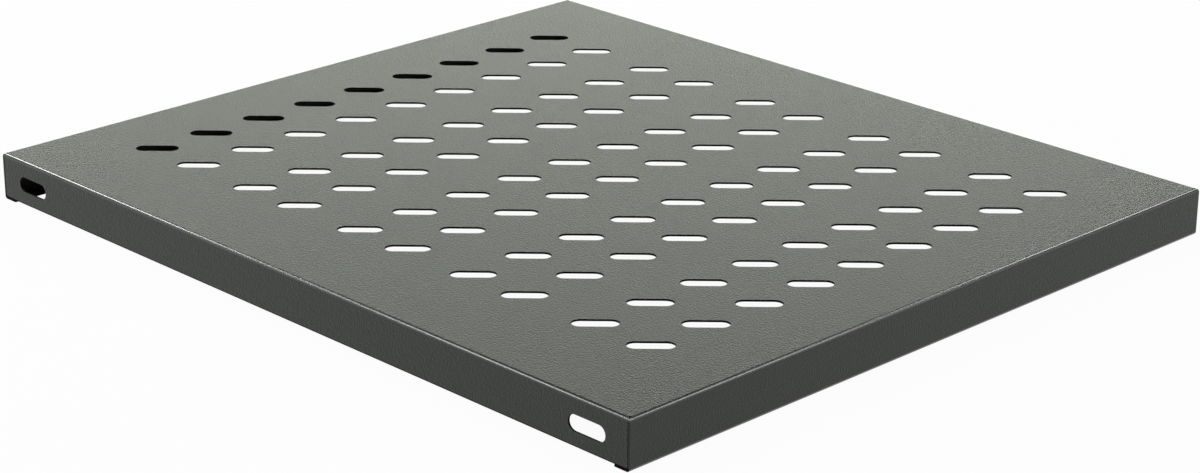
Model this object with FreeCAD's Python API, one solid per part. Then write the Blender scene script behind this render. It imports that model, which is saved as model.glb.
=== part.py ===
import FreeCAD, Part
import math
import os

# Fixed shelf for a 19-inch rack, folded from one steel sheet: a slotted deck with a flange turned
# down on all four sides, and a lip turned in under the front and rear flanges.
# Millimetres, +Z up, the front faces -Y, the origin is at the middle of the footprint.

# Overall size, over the folds
width = 485.0
depth = 550.0
height = 29.8

# Sheet and folds
sheet = 1.2
fold_radius = 2.0           # outside of every fold
lip_reach = 11.0            # from the outer face of the front or rear flange
lip_clearance = 0.2         # between a side flange and the lips under its ends
seam = 0.4                  # open joint between two flanges, from the lip up to the folds
relief_radius = 0.6         # round hole through the deck where two folds meet

# Slots through the deck, set in pairs of rows
deck_slot_length = 26.5
deck_slot_width = 10.0
deck_slot_turn = -45.0      # degrees, from the width towards the front
deck_slot_chords = 10       # straight facets round each slot end, few because the slots repeat
column_pitch = 42.0
row_pitch = 42.0            # between the two rows of a pair
pair_pitch = 97.5           # from one pair to the next
side_margin = 60.0          # least distance from a side to a slot's centre
end_margin = 50.0           # least distance from the front or rear to a slot's centre

# Mounting slots through the side flanges, one near each end
mount_slot_length = 27.0
mount_slot_width = 9.5
mount_inset = 31.0          # from the front or rear face to a slot's centre
mount_drop = 15.3           # from the deck's top to a slot's centre

x_axis = FreeCAD.Vector(1, 0, 0)
y_axis = FreeCAD.Vector(0, 1, 0)
z_axis = FreeCAD.Vector(0, 0, 1)
origin = FreeCAD.Vector(0, 0, 0)

inner_radius = fold_radius - sheet
fold_level = height - fold_radius       # the flat flanges end here and the top folds start
side_level = sheet + lip_clearance      # lower edge of the side flanges
overrun = sheet                         # how far a cutter runs past what it cuts
quarter_turn = 90.0


def centred_block(size_x, size_y, low, high):
    corner = FreeCAD.Vector(-size_x / 2, -size_y / 2, low)
    return Part.makeBox(size_x, size_y, high - low, corner)


def edges_along(block, axis, level):
    # straight edges along an axis, at one level
    picked = []
    for edge in block.Edges:
        start, end = [corner.Point for corner in edge.Vertexes]
        turned = (end - start).normalize().cross(axis).Length
        if turned < seam and abs(edge.CenterOfMass.z - level) < seam:
            picked.append(edge)
    return picked


def end_envelope(inset, radius, overlength):
    # block rounded along all its four edges from side to side
    low = inset
    high = height - inset
    block = centred_block(width + 2 * overlength, depth - 2 * inset, low, high)
    edges = edges_along(block, x_axis, low) + edges_along(block, x_axis, high)
    return block.makeFillet(radius, edges)


def side_envelope(inset, low, radius, overlength):
    # block rounded along its two top edges from front to rear
    high = height - inset
    block = centred_block(width - 2 * inset, depth + 2 * overlength, low, high)
    return block.makeFillet(radius, edges_along(block, y_axis, high))


def end_folds():
    # deck, front and rear flanges and their lips: a rounded tube that is open underneath
    outside = end_envelope(0, fold_radius, 0)
    inside = end_envelope(sheet, inner_radius, overrun)
    mouth = centred_block(width + 2 * overrun, depth - 2 * lip_reach, -overrun, side_level)
    return outside.cut(inside).cut(mouth)


def side_folds():
    # side flanges with their folds; below the folds they stand between the front and rear flanges
    outside = side_envelope(0, side_level, fold_radius, 0)
    inside = side_envelope(sheet, side_level - overrun, inner_radius, overrun)
    flange_room = centred_block(width, depth - 2 * (sheet + seam), side_level, fold_level)
    flange_room = flange_room.makeFillet(inner_radius, edges_along(flange_room, x_axis, side_level))
    fold_room = centred_block(width, depth, fold_level, height)
    return outside.cut(inside).common(flange_room.fuse(fold_room))


def relief_holes():
    # one at each corner, where the folds end in a closed mitre
    holes = []
    for side in (1, -1):
        for end in (1, -1):
            place_x = side * (width / 2 - fold_radius)
            place_y = end * (depth / 2 - fold_radius)
            place = FreeCAD.Vector(place_x, place_y, fold_level)
            holes.append(Part.makeCylinder(relief_radius, fold_radius + overrun, place))
    return holes


def faceted_slot_outline(length, breadth, chords):
    # flat slot along X, its round ends drawn with chords
    radius = breadth / 2
    run = length / 2 - radius
    corners = []
    for end in (1, -1):
        for step in range(chords + 1):
            angle = math.pi * step / chords - math.pi / 2
            place_x = end * (run + radius * math.cos(angle))
            place_y = end * radius * math.sin(angle)
            corners.append(FreeCAD.Vector(place_x, place_y, 0))
    return Part.Face(Part.makePolygon(corners + corners[:1]))


def round_slot_outline(length, breadth):
    # flat slot along X, its round ends true arcs
    radius = breadth / 2
    run = length / 2 - radius
    front_left = FreeCAD.Vector(-run, -radius, 0)
    front_right = FreeCAD.Vector(run, -radius, 0)
    rear_right = FreeCAD.Vector(run, radius, 0)
    rear_left = FreeCAD.Vector(-run, radius, 0)
    right_tip = FreeCAD.Vector(run + radius, 0, 0)
    left_tip = FreeCAD.Vector(-run - radius, 0, 0)
    edges = [
        Part.LineSegment(front_left, front_right).toShape(),
        Part.Arc(front_right, right_tip, rear_right).toShape(),
        Part.LineSegment(rear_right, rear_left).toShape(),
        Part.Arc(rear_left, left_tip, front_left).toShape(),
    ]
    return Part.Face(Part.Wire(edges))


def spread(count, pitch):
    # places of a row about its middle
    return [(index - (count - 1) / 2) * pitch for index in range(count)]


def deck_slots():
    columns = int((width - 2 * side_margin) // column_pitch) + 1
    pairs = int((depth - 2 * end_margin - row_pitch) // pair_pitch) + 1
    outline = faceted_slot_outline(deck_slot_length, deck_slot_width, deck_slot_chords)
    outline.rotate(origin, z_axis, deck_slot_turn)
    slot = outline.extrude(z_axis * (sheet + 2 * overrun))
    slot.translate(z_axis * (height - sheet - overrun))
    slots = []
    for pair_place in spread(pairs, pair_pitch):
        for row_place in spread(2, row_pitch):
            for column_place in spread(columns, column_pitch):
                place = FreeCAD.Vector(column_place, pair_place + row_place, 0)
                slots.append(slot.translated(place))
    return slots


def mount_slots():
    # each cutter runs through both side flanges, so the two sides match
    outline = round_slot_outline(mount_slot_length, mount_slot_width)
    outline.rotate(origin, z_axis, quarter_turn)
    outline.rotate(origin, y_axis, quarter_turn)
    slot = outline.extrude(x_axis * (width + 2 * overrun))
    slot.translate(FreeCAD.Vector(-width / 2 - overrun, 0, height - mount_drop))
    return [slot.translated(y_axis * place) for place in spread(2, depth - 2 * mount_inset)]


def folded_shelf():
    ends = end_folds().common(side_envelope(0, 0, fold_radius, 0))
    sides = side_folds().common(end_envelope(0, fold_radius, 0))
    tray = ends.fuse(sides).removeSplitter()
    return tray.cut(relief_holes()).cut(deck_slots()).cut(mount_slots())


os.makedirs("parts", exist_ok=True)
shelf = folded_shelf()
shelf.Solids[0].exportStep("parts/shelf.step")
print("shelf:", len(shelf.Solids), "solid, valid", shelf.isValid(), "volume", round(shelf.Volume))
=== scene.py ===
import math

import bpy
from mathutils import Matrix, Vector


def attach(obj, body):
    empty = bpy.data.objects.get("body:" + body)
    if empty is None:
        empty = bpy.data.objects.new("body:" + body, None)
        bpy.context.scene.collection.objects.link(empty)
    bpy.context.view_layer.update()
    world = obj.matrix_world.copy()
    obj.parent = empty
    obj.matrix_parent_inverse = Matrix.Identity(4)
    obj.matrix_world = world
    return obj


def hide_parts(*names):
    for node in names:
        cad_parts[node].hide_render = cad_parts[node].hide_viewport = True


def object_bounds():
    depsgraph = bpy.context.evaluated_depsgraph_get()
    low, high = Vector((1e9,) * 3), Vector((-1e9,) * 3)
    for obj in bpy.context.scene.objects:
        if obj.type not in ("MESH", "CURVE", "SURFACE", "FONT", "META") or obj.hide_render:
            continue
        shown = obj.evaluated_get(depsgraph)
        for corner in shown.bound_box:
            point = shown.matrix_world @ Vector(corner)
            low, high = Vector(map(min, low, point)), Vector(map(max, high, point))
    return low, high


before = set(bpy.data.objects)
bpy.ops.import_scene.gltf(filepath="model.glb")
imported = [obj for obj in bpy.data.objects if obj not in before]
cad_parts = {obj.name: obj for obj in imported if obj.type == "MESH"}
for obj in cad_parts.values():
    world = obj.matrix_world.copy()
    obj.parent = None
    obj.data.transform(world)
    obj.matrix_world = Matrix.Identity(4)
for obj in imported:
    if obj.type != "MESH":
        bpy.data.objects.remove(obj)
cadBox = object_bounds()
print("frame loaded, nodes:", sorted(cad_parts))


def deselectAll():
    if bpy.context.mode != "OBJECT":
        bpy.ops.object.mode_set(mode="OBJECT")
    bpy.ops.object.select_all(action="DESELECT")


def makeActive(piece):
    deselectAll()
    piece.select_set(True)
    bpy.context.view_layer.objects.active = piece


# Node helpers

def addNode(tree, kind, place, **values):
    node = tree.nodes.new(kind)
    node.location = place
    for key, value in values.items():
        setattr(node, key, value)
    return node


def setInputs(node, **values):
    for key, value in values.items():
        node.inputs[key.replace("_", " ")].default_value = value


def addMath(tree, operation, place, *feeds):
    # each feed is a socket to link or a fixed value to set
    node = addNode(tree, "ShaderNodeMath", place, operation=operation)
    for socket, feed in zip(node.inputs, feeds):
        if isinstance(feed, bpy.types.NodeSocket):
            tree.links.new(feed, socket)
        else:
            socket.default_value = feed
    return node.outputs[0]


# Coat grain: fine pebbles of a textured powder coat, with faint clouds from spraying

coatGrain = {
    "name": "coatGrain",
    "settings": {                   # inputs of the group, each with the coat's value that feeds it
        "Grain Scale": "grainScale",
        "Cloud Scale": "cloudScale",
        "Grain Contrast": "grainContrast",
        "Cloud Contrast": "cloudContrast",
        "Roughness": "roughness",
        "Roughness Spread": "roughnessSpread",
    },
    "grainDetail": 2.0,
    "grainBreak": 0.55,             # how much the finer layers of the noise count
    "cloudDetail": 3.0,
    "cloudBreak": 0.6,
    "noiseMiddle": 0.5,
}


def makeGrainGroup(v):
    group = bpy.data.node_groups.new(v["name"], "ShaderNodeTree")
    sockets = group.interface
    for label in v["settings"]:
        sockets.new_socket(label, in_out="INPUT", socket_type="NodeSocketFloat")
    sockets.new_socket("Coat Color", in_out="INPUT", socket_type="NodeSocketColor")
    sockets.new_socket("Color", in_out="OUTPUT", socket_type="NodeSocketColor")
    sockets.new_socket("Roughness", in_out="OUTPUT", socket_type="NodeSocketFloat")
    sockets.new_socket("Height", in_out="OUTPUT", socket_type="NodeSocketFloat")
    entry = addNode(group, "NodeGroupInput", (-900, 0))
    leave = addNode(group, "NodeGroupOutput", (700, 0))
    where = addNode(group, "ShaderNodeTexCoord", (-900, 300))
    grain = addNode(group, "ShaderNodeTexNoise", (-600, 250))
    setInputs(grain, Detail=v["grainDetail"], Roughness=v["grainBreak"])
    cloud = addNode(group, "ShaderNodeTexNoise", (-600, -50))
    setInputs(cloud, Detail=v["cloudDetail"], Roughness=v["cloudBreak"])
    for noise, scale in ((grain, "Grain Scale"), (cloud, "Cloud Scale")):
        group.links.new(where.outputs["Object"], noise.inputs["Vector"])
        group.links.new(entry.outputs[scale], noise.inputs["Scale"])
    # both noises swing about zero, so the coat keeps its mean colour and roughness
    grainSwing = addMath(group, "SUBTRACT", (-400, 250), grain.outputs["Fac"], v["noiseMiddle"])
    cloudSwing = addMath(group, "SUBTRACT", (-400, -50), cloud.outputs["Fac"], v["noiseMiddle"])
    grainTone = addMath(group, "MULTIPLY", (-220, 250), grainSwing, entry.outputs["Grain Contrast"])
    cloudTone = addMath(group, "MULTIPLY", (-220, -50), cloudSwing, entry.outputs["Cloud Contrast"])
    bothTones = addMath(group, "ADD", (0, 120), grainTone, cloudTone)
    level = addMath(group, "ADD", (160, 120), bothTones, 1.0)
    tint = addNode(group, "ShaderNodeVectorMath", (340, 120), operation="SCALE")
    group.links.new(entry.outputs["Coat Color"], tint.inputs[0])
    group.links.new(level, tint.inputs["Scale"])
    spread = entry.outputs["Roughness Spread"]
    rough = addMath(group, "MULTIPLY_ADD", (340, -120), grainSwing, spread, entry.outputs["Roughness"])
    group.links.new(tint.outputs[0], leave.inputs["Color"])
    group.links.new(rough, leave.inputs["Roughness"])
    group.links.new(grain.outputs["Fac"], leave.inputs["Height"])
    return group


powderCoat = {
    "name": "powderCoat",
    "color": (0.0252, 0.0295, 0.0247, 1.0),
    "grainScale": 880.0,            # pebbles per metre
    "cloudScale": 12.0,
    "grainContrast": 0.16,
    "cloudContrast": 0.10,
    "roughness": 0.32,
    "roughnessSpread": 0.12,
    "grainDepth": 0.00045,          # metres
    "grainStrength": 1.0,
    "specular": 0.25,
    "ior": 1.5,
}

foldCoat = dict(                    # the same coat, drawn smooth over the folds
    powderCoat,
    name="foldCoat",
    roughness=0.20,
    roughnessSpread=0.05,
    grainDepth=0.00006,
    specular=0.70,
)

innerPaintedShade = dict(                   # painted shade: darker and more matt inside the folds and under the deck, where the deck and flanges shade them
    powderCoat,
    name="innerPaintedShade",
    color=(0.0085, 0.0095, 0.0085, 1.0),
    roughness=0.60,
    grainDepth=0.00020,
    specular=0.10,
)

cutCoat = dict(                     # black on the walls of slots and on the lips' edges
    powderCoat,
    name="cutCoat",
    color=(0.003, 0.003, 0.003, 1.0),
    cloudScale=40.0,
    grainContrast=0.30,
    cloudContrast=0.20,
    roughness=0.75,
    roughnessSpread=0.10,
    grainDepth=0.00010,
    specular=0.06,
)

endCoat = dict(                     # upright ends of the flanges, darker than their faces
    cutCoat,
    name="endCoat",
    color=(0.013, 0.0145, 0.013, 1.0),
    roughness=0.50,
    specular=0.22,
)


def makeCoat(v, grainGroup):
    coat = bpy.data.materials.new(v["name"])
    coat.use_nodes = True
    tree = coat.node_tree
    shader = tree.nodes["Principled BSDF"]
    setInputs(shader, Specular_IOR_Level=v["specular"], IOR=v["ior"])
    grain = addNode(tree, "ShaderNodeGroup", (-500, 0), node_tree=grainGroup)
    for label, key in coatGrain["settings"].items():
        grain.inputs[label].default_value = v[key]
    setInputs(grain, Coat_Color=v["color"])
    pebbles = addNode(tree, "ShaderNodeBump", (-250, -200))
    setInputs(pebbles, Strength=v["grainStrength"], Distance=v["grainDepth"])
    tree.links.new(grain.outputs["Color"], shader.inputs["Base Color"])
    tree.links.new(grain.outputs["Roughness"], shader.inputs["Roughness"])
    tree.links.new(grain.outputs["Height"], pebbles.inputs["Height"])
    tree.links.new(pebbles.outputs["Normal"], shader.inputs["Normal"])
    return coat


grainGroup = makeGrainGroup(coatGrain)
coats = {v["name"]: makeCoat(v, grainGroup) for v in (powderCoat, cutCoat, endCoat, foldCoat, innerPaintedShade)}
coatPlaces = {name: place for place, name in enumerate(coats)}      # material index of each coat
print("coats made:", ", ".join(coats))


# Folded sheet: the CAD sheet's own mesh, with its cut edges rounded as the coat rounds them

foldedSheet = {
    "name": "foldedSheet",
    "node": "shelf",
    "mergeDistance": 0.000002,
    "pairs": 5,                     # pairs of slot rows
    "pairPitch": 0.0975,
    "rowOffset": 0.021,             # from a pair's middle to each of its rows
    "lipTop": 0.002,                # the flanges stand above this level, the lips lie below it
    "flatAngle": math.radians(0.5),     # neighbours nearer than this are one flat face
    "alongAxis": 0.999,             # a direction with a part this large lies along an axis
    "cutWidth": 0.00125,            # a cut face is no wider than the sheet is thick
    "cutReach": 0.03,               # and this long at most, unless it lies square to an axis
    "openWall": 0.7,                # upright part of the normal from which a wall keeps the full coat
    "endHeight": 0.015,             # a cut face taller than this is a flange's end
    "sideSkin": 0.0001,             # cut faces this near to a side face keep sharp edges
    "cutAngle": math.radians(50),       # edges sharper than this are rounded
    "edgeRound": 0.00014,           # radius that the coat leaves on them
    "edgeSteps": 2,
    "smoothAngle": math.radians(40),
    "mitreTolerance": 0.00005,      # how far from the corner's diagonal a mitre's edge may lie
}


def coatName(mesh, polygon, v):
    corners = [mesh.vertices[index].co for index in polygon.vertices]
    sides = [(corner - corners[place - 1]).length for place, corner in enumerate(corners)]
    breadth = 2 * polygon.area / sum(sides)
    square = max(abs(part) for part in polygon.normal) > v["alongAxis"]
    cut = breadth < v["cutWidth"] and (square or max(sides) < v["cutReach"])
    if cut and polygon.normal.z < v["openWall"]:
        levels = [corner.z for corner in corners]
        tall = max(levels) - min(levels) > v["endHeight"]
        return "endCoat" if tall else "cutCoat"
    middle = (cadBox[0] + cadBox[1]) / 2
    # faces turned towards the middle of the shelf get the painted shade of the enclosed inside
    if not cut and polygon.normal.dot(polygon.center - middle) < 0:
        return "innerPaintedShade"          # turned towards the middle of the shelf
    return "powderCoat" if square else "foldCoat"


def seamAlong(place, normal):
    # cuts the mesh along a plane and keeps the cut as a seam
    bpy.ops.mesh.select_all(action="SELECT")
    bpy.ops.mesh.bisect(plane_co=place, plane_no=normal)
    bpy.ops.mesh.mark_seam(clear=False)


def selectRoundedEdges(mesh, v):
    faces = {}
    for polygon in mesh.polygons:
        for key in polygon.edge_keys:
            faces.setdefault(key, []).append(polygon)
    sideLimit = cadBox[1].x - v["sideSkin"]
    picked = 0
    for edge in mesh.edges:
        pair = faces[edge.key]
        sharp = pair[0].normal.angle(pair[-1].normal) > v["cutAngle"]
        cutFaces = [face for face in pair if face.material_index == coatPlaces["cutCoat"]]
        edge.select = sharp and any(abs(face.center.x) < sideLimit for face in cutFaces)
        picked += edge.select
    return picked


def markMitres(mesh, v):
    # the folds of two neighbouring flanges meet in a crease, at the same distance from both outer faces
    outer = cadBox[1]
    marked = 0
    for edge in mesh.edges:
        ends = [mesh.vertices[index].co for index in edge.vertices]
        gaps = [(outer.x - abs(end.x)) - (outer.y - abs(end.y)) for end in ends]
        upright = abs((ends[0] - ends[1]).normalized().z) > v["alongAxis"]
        if max(abs(gap) for gap in gaps) < v["mitreTolerance"] and not upright:
            edge.use_edge_sharp = True
            marked += 1
    return marked


def makeFoldedSheet(v):
    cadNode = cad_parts[v["node"]]
    sheet = bpy.data.objects.new(v["name"], cadNode.data.copy())
    bpy.context.scene.collection.objects.link(sheet)
    makeActive(sheet)
    bpy.ops.object.mode_set(mode="EDIT")
    bpy.ops.mesh.select_mode(type="EDGE")
    bpy.ops.mesh.select_all(action="SELECT")
    bpy.ops.mesh.remove_doubles(threshold=v["mergeDistance"])
    # strips from side to side, each cut through the middle of a row of slots, so no face has a hole
    for pair in range(v["pairs"]):
        pairPlace = (pair - (v["pairs"] - 1) / 2) * v["pairPitch"]
        for offset in (-v["rowOffset"], v["rowOffset"]):
            seamAlong((0, pairPlace + offset, 0), (0, 1, 0))
    seamAlong((0, 0, v["lipTop"]), (0, 0, 1))
    bpy.ops.mesh.select_all(action="SELECT")
    bpy.ops.mesh.dissolve_limited(angle_limit=v["flatAngle"], delimit={"SEAM"})
    bpy.ops.mesh.select_all(action="DESELECT")
    bpy.ops.object.mode_set(mode="OBJECT")
    mesh = sheet.data
    mesh.materials.clear()
    for coat in coats.values():
        mesh.materials.append(coat)
    for polygon in mesh.polygons:
        polygon.material_index = coatPlaces[coatName(mesh, polygon, v)]
        polygon.select = False
    for vertex in mesh.vertices:
        vertex.select = False
    picked = selectRoundedEdges(mesh, v)
    bpy.ops.object.mode_set(mode="EDIT")
    bpy.ops.mesh.bevel(
        offset=v["edgeRound"],
        segments=v["edgeSteps"],
        affect="EDGES",
        clamp_overlap=False,
        material=coatPlaces["cutCoat"],
    )
    bpy.ops.object.mode_set(mode="OBJECT")
    bpy.ops.object.shade_smooth_by_angle(angle=v["smoothAngle"])
    mitres = markMitres(mesh, v)
    sheet.modifiers.new("flatFaces", "WEIGHTED_NORMAL").keep_sharp = True
    bpy.ops.object.modifier_apply(modifier="flatFaces")
    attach(sheet, "root")
    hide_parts(v["node"])
    faces = len(sheet.data.polygons)
    print("folded sheet:", faces, "faces,", picked, "edges rounded,", mitres, "mitre edges")


makeFoldedSheet(foldedSheet)


# Floor, world and lamps: white surroundings, two boxes for each visible fold and a panel behind the deck

studio = {
    "white": (1.0, 1.0, 1.0, 1.0),
    "floorSize": 9.0,
    "floorDrop": 0.0002,
    "floorColor": (0.75, 0.75, 0.75, 1.0),
    "floorGlow": 0.95,              # part of the floor's white that no shadow reaches
    "background": 1.0,
    "backdropTop": math.radians(18.5),      # up to here the surroundings are white
    "ceilingFoot": math.radians(29),        # and from here on dim
    "ceiling": 0.15,
    "ambient": 0.48,                # light that falls on the shelf from all round
    "aim": (0.0, 0.0, 0.0),         # the lamps face this point
    "lamps": [                      # each a strip between two ends
        {
            "name": "leftLowBox",
            "ends": ((-2.10, 1.81, 1.25), (-1.21, 1.81, 2.04)),
            "breadth": 0.5,
            "power": 20.5,
            "color": (1.0, 1.0, 1.0),
        },
        {
            "name": "leftHighBox",
            "ends": ((-0.95, 2.60, 1.80), (0.15, 3.15, 2.30)),
            "breadth": 0.62,
            "power": 43.0,
            "color": (1.0, 1.0, 1.0),
        },
        {
            "name": "rightLowBox",
            "ends": ((1.78, -2.17, 1.25), (1.78, -1.30, 2.04)),
            "breadth": 0.5,
            "power": 14.5,
            "color": (1.0, 1.0, 1.0),
        },
        {
            "name": "rightHighBox",
            "ends": ((2.25, -0.75, 2.00), (2.62, 0.35, 2.00)),
            "breadth": 0.4,
            "power": 18.0,
            "color": (1.0, 1.0, 1.0),
        },
        {
            "name": "rearPanel",
            "ends": ((0.45, 2.62, 0.30), (2.22, 0.85, 0.30)),
            "breadth": 0.58,
            "power": 9.8,
            "color": (0.93, 1.0, 0.84),
        },
    ],
}


def whiteRays(tree, place):
    # 1 for the rays that show the surroundings: straight, mirrored and seen through
    path = addNode(tree, "ShaderNodeLightPath", place)
    total = path.outputs["Is Camera Ray"]
    for step, kind in enumerate(("Is Glossy Ray", "Is Transmission Ray"), 1):
        total = addMath(tree, "MAXIMUM", (place[0] + 200 * step, place[1]), total, path.outputs[kind])
    return total


def makeFloor(v):
    deselectAll()
    bpy.ops.mesh.primitive_plane_add(size=v["floorSize"], location=(0, 0, -v["floorDrop"]))
    floor = bpy.context.object
    floor.name = "studioFloor"
    paint = bpy.data.materials.new("studioFloor")
    paint.use_nodes = True
    tree = paint.node_tree
    tree.nodes.clear()
    leave = addNode(tree, "ShaderNodeOutputMaterial", (500, 0))
    matt = addNode(tree, "ShaderNodeBsdfDiffuse", (-100, 100))
    setInputs(matt, Color=v["floorColor"])
    glow = addNode(tree, "ShaderNodeEmission", (-100, -100))
    setInputs(glow, Color=v["white"], Strength=v["background"])
    share = addMath(tree, "MULTIPLY", (100, 250), whiteRays(tree, (-500, 250)), v["floorGlow"])
    mix = addNode(tree, "ShaderNodeMixShader", (300, 0))
    for socket, feed in zip(mix.inputs, (share, matt.outputs[0], glow.outputs[0])):
        tree.links.new(feed, socket)
    tree.links.new(mix.outputs[0], leave.inputs["Surface"])
    floor.data.materials.append(paint)


def makeWorld(v):
    world = bpy.data.worlds.new("studioWorld")
    bpy.context.scene.world = world
    world.use_nodes = True
    tree = world.node_tree
    tree.nodes.clear()
    leave = addNode(tree, "ShaderNodeOutputWorld", (400, 0))
    ambient = addNode(tree, "ShaderNodeBackground", (0, -150))
    setInputs(ambient, Color=v["white"], Strength=v["ambient"])
    backdrop = addNode(tree, "ShaderNodeBackground", (0, -300))
    setInputs(backdrop, Color=v["white"])
    # the backdrop is white low down and falls off to a dim ceiling
    where = addNode(tree, "ShaderNodeTexCoord", (-700, -300))
    split = addNode(tree, "ShaderNodeSeparateXYZ", (-500, -300))
    fall = addNode(tree, "ShaderNodeMapRange", (-250, -300), interpolation_type="SMOOTHSTEP")
    setInputs(fall, From_Min=math.sin(v["backdropTop"]), From_Max=math.sin(v["ceilingFoot"]))
    setInputs(fall, To_Min=v["background"], To_Max=v["ceiling"])
    tree.links.new(where.outputs["Generated"], split.inputs[0])
    tree.links.new(split.outputs["Z"], fall.inputs["Value"])
    tree.links.new(fall.outputs["Result"], backdrop.inputs["Strength"])
    mix = addNode(tree, "ShaderNodeMixShader", (200, 0))
    shown = whiteRays(tree, (-500, 250))
    for socket, feed in zip(mix.inputs, (shown, ambient.outputs[0], backdrop.outputs[0])):
        tree.links.new(feed, socket)
    tree.links.new(mix.outputs[0], leave.inputs["Surface"])


def makeLamps(v):
    for lamp in v["lamps"]:
        first, last = [Vector(end) for end in lamp["ends"]]
        middle = (first + last) / 2
        along = (last - first).normalized()
        back = middle - Vector(v["aim"])
        back = (back - along * back.dot(along)).normalized()
        turn = Matrix((along, back.cross(along), back)).transposed().to_euler()
        deselectAll()
        bpy.ops.object.light_add(type="AREA", location=middle, rotation=turn)
        box = bpy.context.object
        box.name = lamp["name"]
        box.data.shape = "RECTANGLE"
        box.data.size = (last - first).length
        box.data.size_y = lamp["breadth"]
        box.data.energy = lamp["power"]
        box.data.color = lamp["color"]


makeFloor(studio)
makeWorld(studio)
makeLamps(studio)
print("studio ready")


# Camera at the photograph's angle

viewPoint = {
    "azimuth": math.radians(-44.518),
    "elevation": math.radians(21.012),
    "roll": math.radians(-0.324),
    "distance": 1.7479,
    "target": (-0.0758, -0.0834, 0.0298),
    "focalPixels": 3032.65,
    "imagePixels": 1200,
    "sensor": 36.0,
}


def placeCamera(v):
    across = math.cos(v["elevation"])
    back = Vector((
        math.sin(v["azimuth"]) * across,
        -math.cos(v["azimuth"]) * across,
        math.sin(v["elevation"]),
    ))
    level = (-back).cross(Vector((0, 0, 1))).normalized()
    down = (-back).cross(level)
    right = level * math.cos(v["roll"]) + down * math.sin(v["roll"])
    upward = level * math.sin(v["roll"]) - down * math.cos(v["roll"])
    eye = Vector(v["target"]) + back * v["distance"]
    deselectAll()
    bpy.ops.object.camera_add()
    camera = bpy.context.object
    turn = Matrix((right, upward, back)).transposed().to_4x4()
    camera.matrix_world = Matrix.Translation(eye) @ turn
    camera.data.sensor_fit = "HORIZONTAL"
    camera.data.sensor_width = v["sensor"]
    camera.data.lens = v["sensor"] * v["focalPixels"] / v["imagePixels"]
    bpy.context.scene.camera = camera


placeCamera(viewPoint)
bpy.context.scene.view_settings.view_transform = "Standard"
print("camera placed")

bpy.context.view_layer.update()
